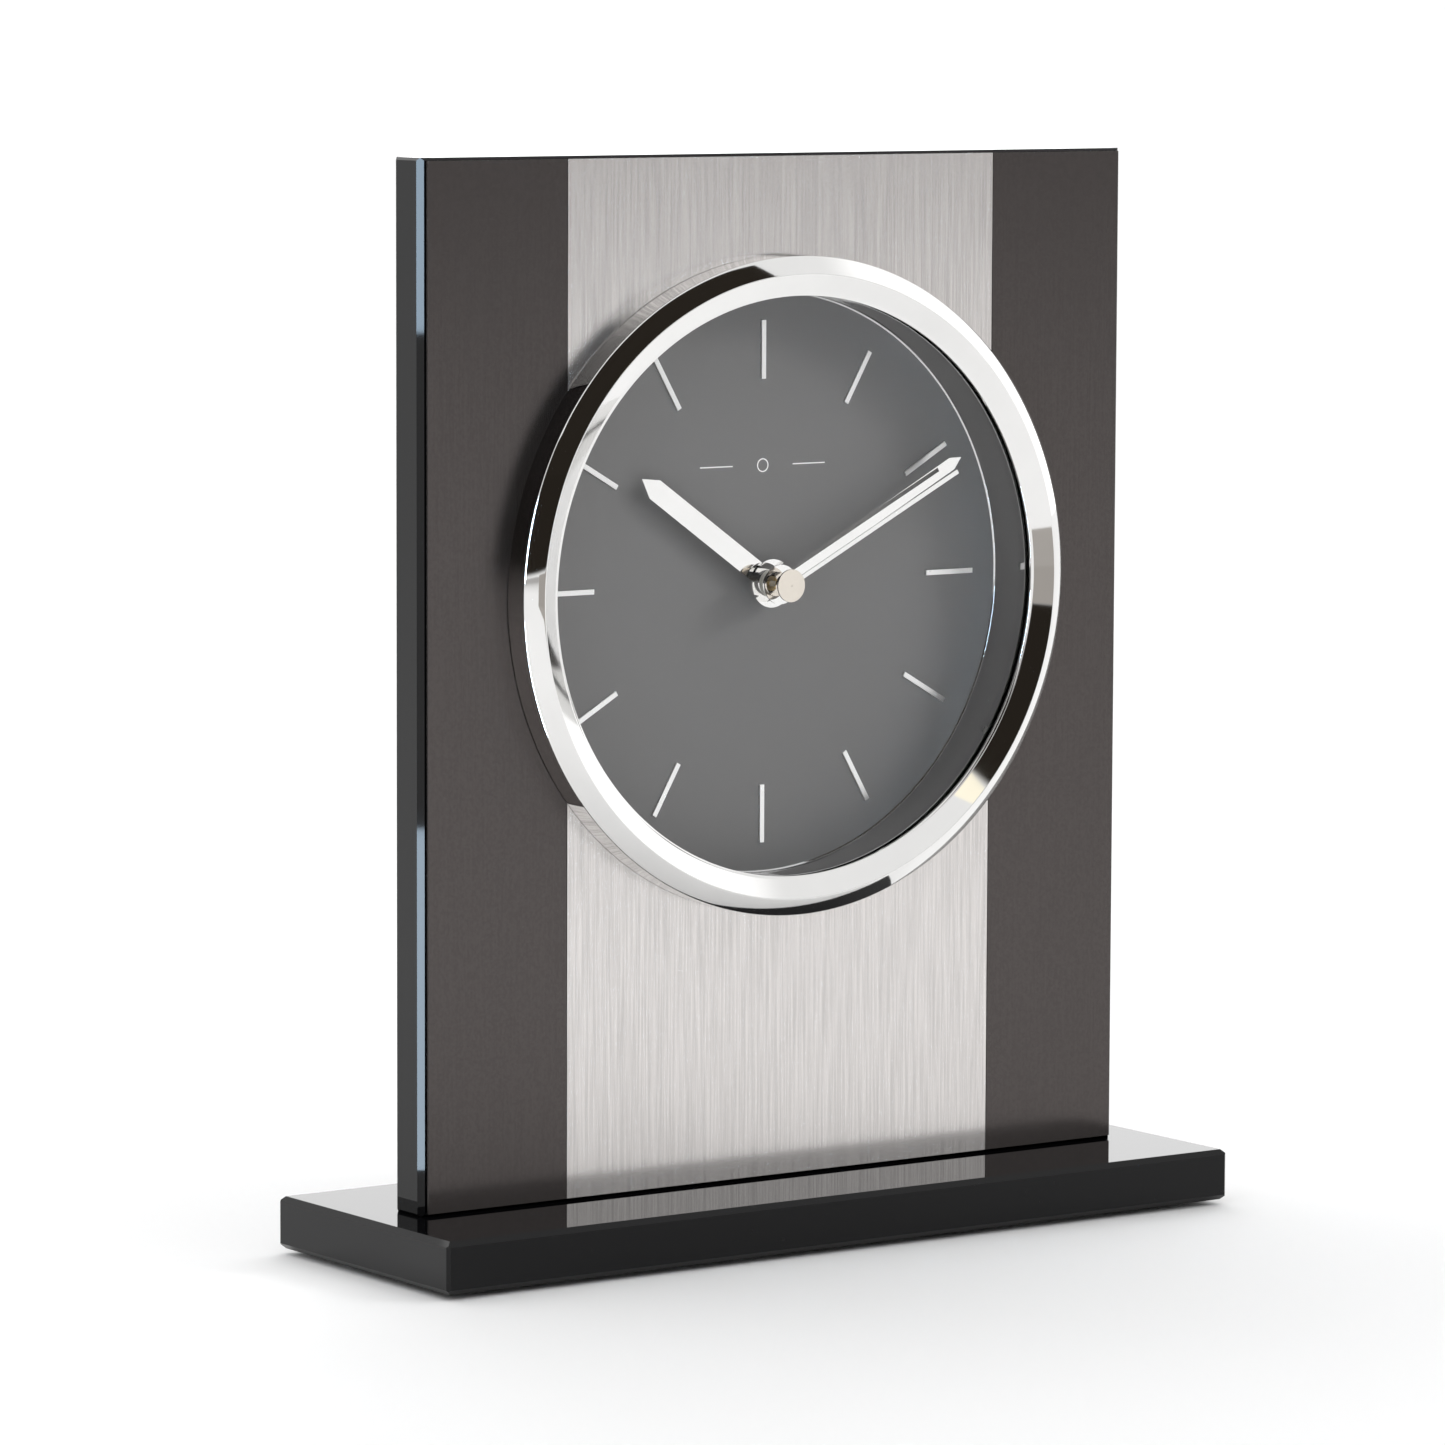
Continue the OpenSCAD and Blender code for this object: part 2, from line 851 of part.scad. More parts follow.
module chip() {
    color([0.05, 0.05, 0.05])
        on_dial_axis()
            at([-21.5, 3.5])
                disc(2.4, 17.5, 18.4);
}

module quartz_crystal() {
    color([0.8, 0.8, 0.82])
        translate([-21.5, 17.35, dial_z - 7])
            cylinder(r = 1.05, h = 6.2);
}

// ---------- Battery ----------

// Draws along the battery, from its flat end to its nub
module on_battery() {
    translate([battery_left_x, battery_pos_y, dial_z + battery_pos_z])
        rotate([0, 90, 0])
            children();
}

module battery_can() {
    sleeve_t = 0.2;
    color([0.75, 0.75, 0.77])
        on_battery() {
            cylinder(r = battery_r - sleeve_t, h = battery_body_len);
            cylinder(r = battery_nub_r, h = battery_body_len + battery_nub_len);
        }
}

module battery_sleeve() {
    sleeve_t = 0.2;
    color([0.15, 0.3, 0.2])
        on_battery()
            translate([0, 0, 0.6])
                difference() {
                    cylinder(r = battery_r, h = battery_body_len - 1.2);
                    translate([0, 0, -1])
                        cylinder(r = battery_r - sleeve_t, h = battery_body_len + 2);
                }
}

module negative_contact() {
    inner = case_w / 2 - case_wall;
    color([0.8, 0.8, 0.8])
        on_dial_axis() {
            block(-inner, -24, -inner + 0.3, -15, 10, 20);
            block(-inner + 0.3, -20.5, battery_left_x - 0.25, -18.5, 13.5, 16.5);
        }
}

module positive_contact() {
    inner = case_w / 2 - case_wall;
    nub_end_x = battery_left_x + battery_body_len + battery_nub_len;
    color([0.8, 0.8, 0.8])
        on_dial_axis() {
            block(inner - 0.3, -24, inner, -15, 10, 20);
            block(nub_end_x + 0.25, -20.5, inner - 0.3, -18.5, 13.5, 16.5);
        }
}

// ---------- Output ----------

base_plate();
feet();
back_panel();
fascia_tape();
left_fascia();
upper_fascia();
lower_fascia();
right_fascia();
bezel();
lens_gasket();
lens();
reflector();
dial();
dial_print();
hour_markers();
insert_housing();
housing_gasket();
hour_hand();
minute_hand();
seconds_hand();
fixing_nut();
flat_washer();
rubber_washer();
movement_cover();
movement_case();
movement_screws();
hour_wheel();
centre_wheel();
seconds_wheel();
third_wheel();
minute_wheel();
step_wheel();
rotor();
stator();
coil_core();
coil_bobbin();
coil_winding();
circuit_board();
quartz_crystal();
chip();
setting_knob();
battery_can();
battery_sleeve();
negative_contact();
positive_contact();
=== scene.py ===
import math

import bmesh
import bpy
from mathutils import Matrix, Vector


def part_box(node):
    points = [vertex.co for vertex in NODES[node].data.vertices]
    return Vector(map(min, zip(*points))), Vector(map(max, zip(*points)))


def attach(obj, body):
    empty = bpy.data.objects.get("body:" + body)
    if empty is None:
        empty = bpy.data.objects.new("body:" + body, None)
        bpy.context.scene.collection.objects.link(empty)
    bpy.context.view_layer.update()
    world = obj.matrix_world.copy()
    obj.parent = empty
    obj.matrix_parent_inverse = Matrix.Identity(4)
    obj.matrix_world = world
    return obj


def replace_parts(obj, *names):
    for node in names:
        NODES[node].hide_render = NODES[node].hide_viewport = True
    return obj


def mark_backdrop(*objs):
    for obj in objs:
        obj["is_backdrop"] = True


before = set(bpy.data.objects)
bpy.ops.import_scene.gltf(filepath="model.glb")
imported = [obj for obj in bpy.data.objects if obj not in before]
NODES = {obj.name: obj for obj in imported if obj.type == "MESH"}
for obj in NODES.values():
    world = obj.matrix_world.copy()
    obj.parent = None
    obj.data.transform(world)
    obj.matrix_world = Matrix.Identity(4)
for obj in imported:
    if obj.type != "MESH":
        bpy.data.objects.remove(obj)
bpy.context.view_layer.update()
MM = 0.001
dial_lo, dial_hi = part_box("dial")
AXIS_X = (dial_lo.x + dial_hi.x) / 2
AXIS_Z = (dial_lo.z + dial_hi.z) / 2


# ---------------------------------------------------------------- node helpers

class Shade:
    """A material's node tree, with short calls that add and join its nodes."""

    def __init__(self, name):
        self.mat = bpy.data.materials.new(name)
        self.mat.use_nodes = True
        self.nt = self.mat.node_tree
        self.nt.nodes.clear()
        self.out = self.nt.nodes.new("ShaderNodeOutputMaterial")
        self.place = self.nt.nodes.new("ShaderNodeTexCoord").outputs["Object"]

    def set(self, socket, value):
        """Joins a socket to this one, or sets this one to a number or a colour."""
        if isinstance(value, bpy.types.NodeSocket):
            self.nt.links.new(value, socket)
        elif isinstance(value, (tuple, list)) and len(value) == 3 and socket.type == "RGBA":
            socket.default_value = (*value, 1.0)
        else:
            socket.default_value = value

    def principled(self, **values):
        node = self.nt.nodes.new("ShaderNodeBsdfPrincipled")
        for key, value in values.items():
            self.set(node.inputs[key.replace("_", " ")], value)
        self.nt.links.new(node.outputs[0], self.out.inputs["Surface"])
        return node

    def scaled(self, sx, sy, sz):
        """Object coordinates, with this many noise cells to the metre on each axis."""
        node = self.nt.nodes.new("ShaderNodeMapping")
        self.nt.links.new(self.place, node.inputs["Vector"])
        node.inputs["Scale"].default_value = (sx, sy, sz)
        return node.outputs[0]

    def noise(self, vector, detail=2.0, rough=0.5):
        """Noise with one cell to each unit of the vector."""
        node = self.nt.nodes.new("ShaderNodeTexNoise")
        self.nt.links.new(vector, node.inputs["Vector"])
        node.inputs["Scale"].default_value = 1.0
        node.inputs["Detail"].default_value = detail
        node.inputs["Roughness"].default_value = rough
        return node.outputs["Fac"]

    def span(self, value, a, b, lo, hi):
        """Carries the range from a to b over to lo to hi, and holds the ends."""
        node = self.nt.nodes.new("ShaderNodeMapRange")
        self.set(node.inputs["Value"], value)
        for key, number in zip(("From Min", "From Max", "To Min", "To Max"), (a, b, lo, hi)):
            node.inputs[key].default_value = number
        return node.outputs[0]

    def maths(self, how, a, b=0.0):
        node = self.nt.nodes.new("ShaderNodeMath")
        node.operation = how
        for socket, value in zip(node.inputs, (a, b)):
            self.set(socket, value)
        return node.outputs[0]

    def mix(self, amount, a, b):
        node = self.nt.nodes.new("ShaderNodeMix")
        node.data_type = "RGBA"
        self.set(node.inputs["Factor"], amount)
        self.set(node.inputs["A"], a)
        self.set(node.inputs["B"], b)
        return node.outputs["Result"]

    def bump(self, height, distance, strength):
        node = self.nt.nodes.new("ShaderNodeBump")
        self.nt.links.new(height, node.inputs["Height"])
        node.inputs["Distance"].default_value = distance
        node.inputs["Strength"].default_value = strength
        return node.outputs[0]

    def part(self, axis, kind="Object"):
        """One axis of the object coordinates or of the surface normal."""
        node = self.nt.nodes.new("ShaderNodeSeparateXYZ")
        self.nt.links.new(self.place.node.outputs[kind], node.inputs[0])
        return node.outputs[axis]


# ------------------------------------------------------------------- materials

def brushed_sheet(name, color, spread, rough, contrast, grain):
    """Metal sheet with fine upright brushing, a few bright hairlines and an even grain."""
    s = Shade(name)
    fine = s.noise(s.scaled(4200, 900, 60), detail=1.0)
    wide = s.noise(s.scaled(2700, 300, 36), detail=0.0)
    broad = s.noise(s.scaled(60, 10, 6), detail=1.0)
    hair = s.span(s.noise(s.scaled(3400, 700, 17), detail=0.0), 0.66, 0.74, 0, 1)
    speck = s.noise(s.scaled(2200, 1500, 1700), detail=2.0)
    lines = s.maths("ADD", s.maths("MULTIPLY", fine, 0.72), s.maths("MULTIPLY", wide, 0.28))
    amount = s.maths("ADD", s.span(lines, 0.36, 0.64, 0, 1), s.span(speck, 0.3, 0.7, -grain, grain))
    dark = tuple(c * (1 - contrast) for c in color)
    light = tuple(min(1.0, c * (1 + contrast)) for c in color)
    shade = s.mix(s.maths("ADD", amount, s.maths("MULTIPLY", hair, 0.4)), dark, light)
    s.principled(
        Base_Color=shade, Metallic=0.9, Anisotropic=spread,
        Roughness=s.maths("ADD", s.span(lines, 0.3, 0.7, rough + 0.025, rough - 0.025),
                          s.span(broad, 0.3, 0.7, -0.01, 0.01)),
        Normal=s.bump(lines, 0.00001, 0.3),
    )
    return s.mat


def polished(name, color, rough=0.03):
    """Bright plated metal, with faint wipe marks."""
    s = Shade(name)
    haze = s.noise(s.scaled(90, 90, 90), detail=4.0, rough=0.6)
    grain = s.noise(s.scaled(2600, 2600, 2600), detail=1.0)
    s.principled(
        Base_Color=s.mix(s.span(haze, 0.35, 0.75, 0, 1), color, tuple(c * 0.965 for c in color)),
        Metallic=1.0, Roughness=s.span(haze, 0.35, 0.75, rough, rough + 0.03),
        Normal=s.bump(grain, 0.000001, 0.1),
    )
    return s.mat


def capped(name, blade, cap, cap_r):
    """Plated hand whose round cap, out to cap_r metres from the dial axis, has its own colour."""
    s = Shade(name)
    dx = s.maths("SUBTRACT", s.part("X"), AXIS_X)
    dz = s.maths("SUBTRACT", s.part("Z"), AXIS_Z)
    away = s.maths("SQRT", s.maths("ADD", s.maths("MULTIPLY", dx, dx), s.maths("MULTIPLY", dz, dz)))
    haze = s.noise(s.scaled(500, 500, 500), detail=3.0)
    s.principled(
        Base_Color=s.mix(s.span(away, cap_r, cap_r * 1.02, 0, 1), cap, blade), Metallic=1.0,
        Roughness=s.span(haze, 0.3, 0.7, 0.06, 0.12),
    )
    return s.mat


def turned(name, color, rough=0.25):
    """Machined metal with fine tool marks round the dial axis."""
    s = Shade(name)
    marks = s.noise(s.scaled(300, 4200, 300), detail=2.0)
    s.principled(
        Base_Color=s.mix(s.span(marks, 0.3, 0.7, 0, 1), tuple(c * 0.85 for c in color), color),
        Metallic=1.0, Roughness=s.span(marks, 0.3, 0.7, rough, rough + 0.15),
        Normal=s.bump(marks, 0.00001, 0.5),
    )
    return s.mat


def moulded(name, color, rough=0.5, grain=0.00001, size=1800):
    """Moulded plastic with a fine spark-eroded texture and a little handling shine."""
    s = Shade(name)
    fine = s.noise(s.scaled(size, size, size), detail=3.0, rough=0.6)
    flow = s.noise(s.scaled(70, 70, 40), detail=3.0)
    s.principled(
        Base_Color=s.mix(s.span(flow, 0.3, 0.7, 0, 1), tuple(c * 0.9 for c in color),
                         tuple(min(1.0, c * 1.08) for c in color)),
        Roughness=s.maths("ADD", s.span(flow, 0.3, 0.7, rough + 0.05, rough - 0.06),
                          s.span(fine, 0.3, 0.7, -0.05, 0.05)),
        Normal=s.bump(fine, grain, 0.6),
    )
    return s.mat


GLASS_BLACK = (0.003, 0.003, 0.0035)
# Painted light: the colour of the glass's end faces, lighter than the black for the light the glass
# carries to its ends.
GLASS_END_PAINTED_LIGHT = (0.012, 0.012, 0.0125)
GLASS_DUST = (0.008, 0.008, 0.008)
PANEL_IOR = 1.31
CAP_R = 0.0032


def black_glass(name):
    """Polished black glass with faint smears and dust; its end faces carry painted light, a lighter
    colour for the light the clear glass brings to its ends.
    """
    s = Shade(name)
    smear = s.noise(s.scaled(22, 22, 60), detail=5.0, rough=0.65)
    specks = s.noise(s.scaled(900, 900, 900), detail=0.0)
    dust = s.span(specks, 0.80, 0.84, 0, 1)
    # Painted light: faces turned towards the ends get a lighter colour for the light the glass carries to
    # them.
    ends = s.maths("ABSOLUTE", s.part("X", "Normal"))
    body = s.mix(s.span(ends, 0.4, 0.9, 0, 1), GLASS_BLACK, GLASS_END_PAINTED_LIGHT)
    s.principled(
        Base_Color=s.mix(dust, body, GLASS_DUST),
        Roughness=s.maths("ADD", s.span(smear, 0.4, 0.75, 0.012, 0.05), s.maths("MULTIPLY", dust, 0.05)),
        IOR=PANEL_IOR,
    )
    return s.mat


# The share of light that each face of the lens mirrors head on, and the tint of the rest.
LENS_MIRROR = 0.0125
LENS_CLEAR = (0.985, 0.985, 0.985, 1)


def clear_glass(name):
    """Thin coated lens: it mirrors a little, more at a slant, and lets the rest straight through."""
    s = Shade(name)
    slant = s.nt.nodes.new("ShaderNodeLayerWeight")
    slant.inputs["Blend"].default_value = 0.5
    rise = s.maths("MULTIPLY", s.maths("POWER", slant.outputs["Facing"], 5.0), 1 - LENS_MIRROR)
    mirror = s.maths("ADD", rise, LENS_MIRROR)
    clear = s.nt.nodes.new("ShaderNodeBsdfTransparent")
    clear.inputs["Color"].default_value = LENS_CLEAR
    gloss = s.nt.nodes.new("ShaderNodeBsdfGlossy")
    gloss.inputs["Color"].default_value = (1, 1, 1, 1)
    smear = s.noise(s.scaled(30, 30, 30), detail=4.0, rough=0.6)
    s.nt.links.new(s.span(smear, 0.4, 0.8, 0.004, 0.03), gloss.inputs["Roughness"])
    mixed = s.nt.nodes.new("ShaderNodeMixShader")
    s.nt.links.new(mirror, mixed.inputs[0])
    s.nt.links.new(clear.outputs[0], mixed.inputs[1])
    s.nt.links.new(gloss.outputs[0], mixed.inputs[2])
    s.nt.links.new(mixed.outputs[0], s.out.inputs["Surface"])
    return s.mat


def satin_paint(name, color, rough):
    """Sprayed dial paint with a very fine metallic grain."""
    s = Shade(name)
    grain = s.noise(s.scaled(3800, 3800, 3800), detail=2.0)
    cloud = s.noise(s.scaled(35, 35, 35), detail=3.0)
    s.principled(
        Base_Color=s.mix(s.maths("ADD", s.span(grain, 0.3, 0.7, 0, 0.7), s.span(cloud, 0.3, 0.7, 0, 0.3)),
                         tuple(c * 0.99 for c in color), tuple(c * 1.01 for c in color)),
        Roughness=s.span(cloud, 0.3, 0.7, rough - 0.02, rough + 0.02), Metallic=0.2,
    )
    return s.mat


def rubber(name, color=(0.02, 0.02, 0.02)):
    """Matt rubber or foam with a fine rough skin."""
    s = Shade(name)
    fine = s.noise(s.scaled(1500, 1500, 1500), detail=4.0, rough=0.7)
    s.principled(
        Base_Color=s.mix(s.span(fine, 0.3, 0.7, 0, 1), color, tuple(c * 1.6 for c in color)),
        Roughness=s.span(fine, 0.3, 0.7, 0.7, 0.9), Normal=s.bump(fine, 0.00002, 0.7),
    )
    return s.mat


def wound_wire(name, color):
    """Turns of fine lacquered wire, side by side along the coil."""
    s = Shade(name)
    wave = s.nt.nodes.new("ShaderNodeTexWave")
    wave.bands_direction = "X"
    s.nt.links.new(s.scaled(1, 1, 1), wave.inputs["Vector"])
    wave.inputs["Scale"].default_value = 900
    wave.inputs["Distortion"].default_value = 0.6
    s.principled(
        Base_Color=s.mix(wave.outputs["Fac"], tuple(c * 0.5 for c in color), color),
        Metallic=0.9, Roughness=s.span(wave.outputs["Fac"], 0, 1, 0.45, 0.25),
        Normal=s.bump(wave.outputs["Fac"], 0.00005, 0.8),
    )
    return s.mat


def circuit(name, mask, copper):
    """Green solder mask with rows of copper pads under it."""
    s = Shade(name)
    brick = s.nt.nodes.new("ShaderNodeTexBrick")
    s.nt.links.new(s.scaled(1, 1, 1), brick.inputs["Vector"])
    brick.inputs["Scale"].default_value = 420
    brick.inputs["Mortar Size"].default_value = 0.035
    fine = s.noise(s.scaled(900, 900, 900), detail=2.0)
    s.principled(
        Base_Color=s.mix(brick.outputs["Fac"], mask, copper),
        Roughness=s.span(fine, 0.3, 0.7, 0.25, 0.4), Normal=s.bump(fine, 0.000008, 0.4),
    )
    return s.mat


MATERIALS = {
    "pale_brushed": brushed_sheet("pale_brushed", (0.668, 0.641, 0.627),
                                  spread=0.9, rough=0.20, contrast=0.125, grain=0.1),
    "dark_brushed": brushed_sheet("dark_brushed", (0.085, 0.0752, 0.0725),
                                  spread=0.85, rough=0.22, contrast=0.045, grain=1.6),
    "chrome_plate": polished("chrome_plate", (0.85, 0.845, 0.835)),
    "bright_plate": polished("bright_plate", (0.98, 0.975, 0.965)),
    "wall_plate": polished("wall_plate", (0.72, 0.72, 0.72), 0.05),
    "satin_plate": polished("satin_plate", (1.0, 1.0, 0.995), 0.27),
    "hand_plate": capped("hand_plate", (0.95, 0.945, 0.935), (0.82, 0.76, 0.68), CAP_R),
    "brass_turned": turned("brass_turned", (0.78, 0.60, 0.28)),
    "zinc_steel": turned("zinc_steel", (0.66, 0.67, 0.69), 0.3),
    "rolled_steel": turned("rolled_steel", (0.48, 0.49, 0.51), 0.35),
    "sintered": turned("sintered", (0.16, 0.16, 0.17), 0.45),
    "black_glass": black_glass("black_glass"),
    "clear_glass": clear_glass("clear_glass"),
    "dial_grey": satin_paint("dial_grey", (0.167, 0.166, 0.166), 0.5),
    "dial_ink": satin_paint("dial_ink", (0.95, 0.95, 0.94), 0.35),
    "black_moulded": moulded("black_moulded", (0.018, 0.018, 0.019), 0.55, grain=0.00003, size=1300),
    "case_moulded": moulded("case_moulded", (0.014, 0.014, 0.015), 0.38, grain=0.000012, size=1600),
    "knob_moulded": moulded("knob_moulded", (0.03, 0.03, 0.031), 0.4),
    "grey_moulded": moulded("grey_moulded", (0.62, 0.62, 0.59), 0.5),
    "white_gear": moulded("white_gear", (0.80, 0.80, 0.76), 0.45),
    "chip_resin": moulded("chip_resin", (0.012, 0.012, 0.013), 0.35),
    "sleeve_film": moulded("sleeve_film", (0.02, 0.10, 0.055), 0.25, grain=0.000003, size=900),
    "rubber_black": rubber("rubber_black"),
    "tape_black": rubber("tape_black", (0.01, 0.01, 0.01)),
    "copper_wire": wound_wire("copper_wire", (0.78, 0.36, 0.16)),
    "circuit": circuit("circuit", (0.015, 0.12, 0.045), (0.10, 0.20, 0.07)),
}

FINISH = {
    "pale_brushed": ("upper_fascia", "lower_fascia"),
    "dark_brushed": ("left_fascia", "right_fascia"),
    "chrome_plate": ("bezel", "quartz_crystal", "battery_can", "negative_contact", "positive_contact"),
    "bright_plate": ("hour_hand", "minute_hand"),
    "wall_plate": ("reflector",),
    "satin_plate": ("hour_markers",),
    "hand_plate": ("seconds_hand",),
    "brass_turned": ("fixing_nut", "flat_washer", "centre_wheel"),
    "zinc_steel": ("movement_screws",),
    "rolled_steel": ("stator", "coil_core"),
    "sintered": ("rotor",),
    "black_glass": ("base_plate", "back_panel"),
    "clear_glass": ("lens",),
    "dial_grey": ("dial",),
    "dial_ink": ("dial_print",),
    "black_moulded": ("insert_housing",),
    "case_moulded": ("movement_case",),
    "knob_moulded": ("setting_knob",),
    "grey_moulded": ("movement_cover",),
    "white_gear": ("hour_wheel", "seconds_wheel", "third_wheel", "minute_wheel", "step_wheel",
                   "coil_bobbin"),
    "chip_resin": ("chip",),
    "sleeve_film": ("battery_sleeve",),
    "rubber_black": ("feet", "lens_gasket", "housing_gasket", "rubber_washer"),
    "tape_black": ("fascia_tape",),
    "copper_wire": ("coil_winding",),
    "circuit": ("circuit_board",),
}
for finish, names in FINISH.items():
    for name in names:
        mesh = NODES[name].data
        mesh.materials.clear()
        mesh.materials.append(MATERIALS[finish])


# ------------------------------------------------------------- turned pieces

def rounded(points, radius, steps=4):
    """Rounds each corner of a closed outline of (r, y, limit) points, in millimetres."""
    out = []
    count = len(points)
    for i, (r, y, limit) in enumerate(points):
        here = Vector((r, y))
        before = Vector(points[i - 1][:2]) - here
        after = Vector(points[(i + 1) % count][:2]) - here
        cut = min(radius if limit is None else limit, before.length * 0.45, after.length * 0.45)
        if cut < 0.005:
            out.append((r, y))
            continue
        a, b = here + before.normalized() * cut, here + after.normalized() * cut
        for k in range(steps + 1):
            t = k / steps
            p = a * (1 - t) ** 2 + here * 2 * t * (1 - t) + b * t ** 2
            out.append((p.x, p.y))
    return out


TURN_STEPS = 540
SHARP_ANGLE = math.radians(28)


def lathe(name, outline, material, body):
    """Turns a closed outline of (r, y) millimetres round the dial axis."""
    bm = bmesh.new()
    rings = []
    for i in range(TURN_STEPS):
        a = 2 * math.pi * i / TURN_STEPS
        rings.append([bm.verts.new((AXIS_X + r * MM * math.sin(a), y * MM, AXIS_Z + r * MM * math.cos(a)))
                      for r, y in outline])
    for i in range(TURN_STEPS):
        here, there = rings[i], rings[(i + 1) % TURN_STEPS]
        for k in range(len(outline)):
            n = (k + 1) % len(outline)
            bm.faces.new((here[k], there[k], there[n], here[n]))
    bmesh.ops.recalc_face_normals(bm, faces=bm.faces)
    for edge in bm.edges:
        edge.smooth = edge.calc_face_angle(0) < SHARP_ANGLE
    mesh = bpy.data.meshes.new(name)
    bm.to_mesh(mesh)
    bm.free()
    for face in mesh.polygons:
        face.use_smooth = True
    mesh.materials.append(MATERIALS[material])
    piece = bpy.data.objects.new(name, mesh)
    bpy.context.scene.collection.objects.link(piece)
    flat = piece.modifiers.new("even_normals", "WEIGHTED_NORMAL")
    flat.keep_sharp = True
    flat.weight = 100
    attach(piece, body)
    return piece


b_lo, b_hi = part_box("bezel")
BEZEL_R = (b_hi.x - b_lo.x) / 2 / MM
FRONT_Y = b_lo.y / MM
FASCIA_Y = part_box("left_fascia")[0].y / MM
RIDGE_IN = 3.3
RIDGE_ANGLE = math.radians(27.35)
SHOULDER_ANGLE = math.radians(37.3)
SLOPE_STEPS = 12
# The lip holds the lens in its pocket, and the skirt goes through the hole in the panel.
LIP_R = BEZEL_R - 7.4
POCKET_R = BEZEL_R - 4.85
SKIRT_R = BEZEL_R - 4.1
RIM_IN_R = BEZEL_R - 0.9
SKIRT_END_Y = FRONT_Y + 7.05
LIP_BACK_Y = FRONT_Y + 2.6
FOOT_R = BEZEL_R - 0.2
SOFT = 0.14


def outer_slope():
    """Points of the outer slope, which steepens from the ridge to the shoulder."""
    ridge_rise, shoulder_rise = math.tan(RIDGE_ANGLE), math.tan(SHOULDER_ANGLE)
    curve = (shoulder_rise - ridge_rise) / (2 * RIDGE_IN)
    points = []
    for i in range(SLOPE_STEPS):
        out = RIDGE_IN * (1 - i / SLOPE_STEPS)
        points.append((BEZEL_R - RIDGE_IN + out, FRONT_Y + ridge_rise * out + curve * out ** 2,
                       SOFT if i == 0 else 0.0))
    return points


bezel_outline = rounded([
    (FOOT_R, FASCIA_Y, 0.0), (FOOT_R, FASCIA_Y - 0.12, 0.0), (BEZEL_R, FASCIA_Y - 0.22, 0.06),
    *outer_slope(), (BEZEL_R - RIDGE_IN, FRONT_Y, SOFT),
    (BEZEL_R - 6.85, FRONT_Y + 2.05, 0.12), (LIP_R, FRONT_Y + 2.12, 0.12),
    (LIP_R, LIP_BACK_Y, 0.0), (POCKET_R, LIP_BACK_Y, 0.0),
    (POCKET_R, SKIRT_END_Y, 0.0), (SKIRT_R, SKIRT_END_Y, 0.0),
    (SKIRT_R, FRONT_Y + 2.1, 0.0), (BEZEL_R - RIDGE_IN, FRONT_Y + 1.1, 0.0),
    (RIM_IN_R, FRONT_Y + 2.45, 0.0), (RIM_IN_R, FASCIA_Y, 0.0),
], 0.15)
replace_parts(lathe("bezel_polished", bezel_outline, "chrome_plate", "clock"), "bezel")

WALL_FRONT_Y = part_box("lens")[1].y / MM
DIAL_Y = dial_lo.y / MM
DIAL_R = (dial_hi.x - dial_lo.x) / 2 / MM
BEAD_WIDTH = 1.0
wall_outline = rounded([
    (DIAL_R - 1.25, WALL_FRONT_Y, 0.1), (DIAL_R, WALL_FRONT_Y, 0.0), (DIAL_R, DIAL_Y, 0.0),
    (DIAL_R - BEAD_WIDTH, DIAL_Y, 0.0), (DIAL_R - 0.72, DIAL_Y - 0.2, 0.04),
], 0.1)
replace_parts(lathe("reflector_polished", wall_outline, "wall_plate", "clock"), "reflector")


# ------------------------------------------------------------ floor and lights

def plane(name, corners, material):
    """Flat face through these corners, which belongs to the stage."""
    mesh = bpy.data.meshes.new(name)
    mesh.from_pydata(corners, [], [tuple(range(len(corners)))])
    mesh.materials.append(material)
    item = bpy.data.objects.new(name, mesh)
    bpy.context.scene.collection.objects.link(item)
    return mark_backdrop(item) or item


floor_shade = Shade("floor_white")
floor_tone = floor_shade.noise(floor_shade.scaled(2, 2, 2), detail=2.0)
# Painted shade: from 1.8 m to 5.5 m in front of the clock the floor colour turns from white to grey, for
# the light falling off away from the lamps.
FLOOR_NEAR_Y, FLOOR_FAR_Y = -1.8, -5.5
FLOOR_FAR_PAINTED_SHADE = (0.42, 0.41, 0.405)
far_shade = floor_shade.span(floor_shade.part("Y"), FLOOR_NEAR_Y, FLOOR_FAR_Y, 0, 1)
floor_white = floor_shade.mix(floor_tone, (0.93, 0.93, 0.93), (0.94, 0.94, 0.94))
floor_shade.principled(Base_Color=floor_shade.mix(far_shade, floor_white, FLOOR_FAR_PAINTED_SHADE),
                       Roughness=0.9, Specular_IOR_Level=0.1)
FAR = 40.0
plane("floor", [(-FAR, -FAR, 0), (FAR, -FAR, 0), (FAR, FAR, 0), (-FAR, FAR, 0)], floor_shade.mat)


def softbox(name, place, aim, width, height, radiance):
    """White rectangular lamp at a place, turned to a point."""
    data = bpy.data.lights.new(name, "AREA")
    data.shape = "RECTANGLE"
    data.size, data.size_y = width, height
    data.energy = radiance * math.pi * width * height
    item = bpy.data.objects.new(name, data)
    item.location = place
    item.rotation_mode = "QUATERNION"
    item.rotation_quaternion = (Vector(aim) - Vector(place)).to_track_quat("-Z", "Y")
    bpy.context.scene.collection.objects.link(item)
    return item


softbox("top_box", (-0.15, 0.9, 1.05), (0, 0, 0.1), 1.2, 0.8, 0.9)
FILL_SPREAD = math.radians(26)
fill = softbox("right_fill", (0.40, -0.35, 0.38), (-0.01, 0, AXIS_Z + 0.01), 0.20, 0.12, 0.6)
fill.visible_glossy = False
fill.data.spread = FILL_SPREAD


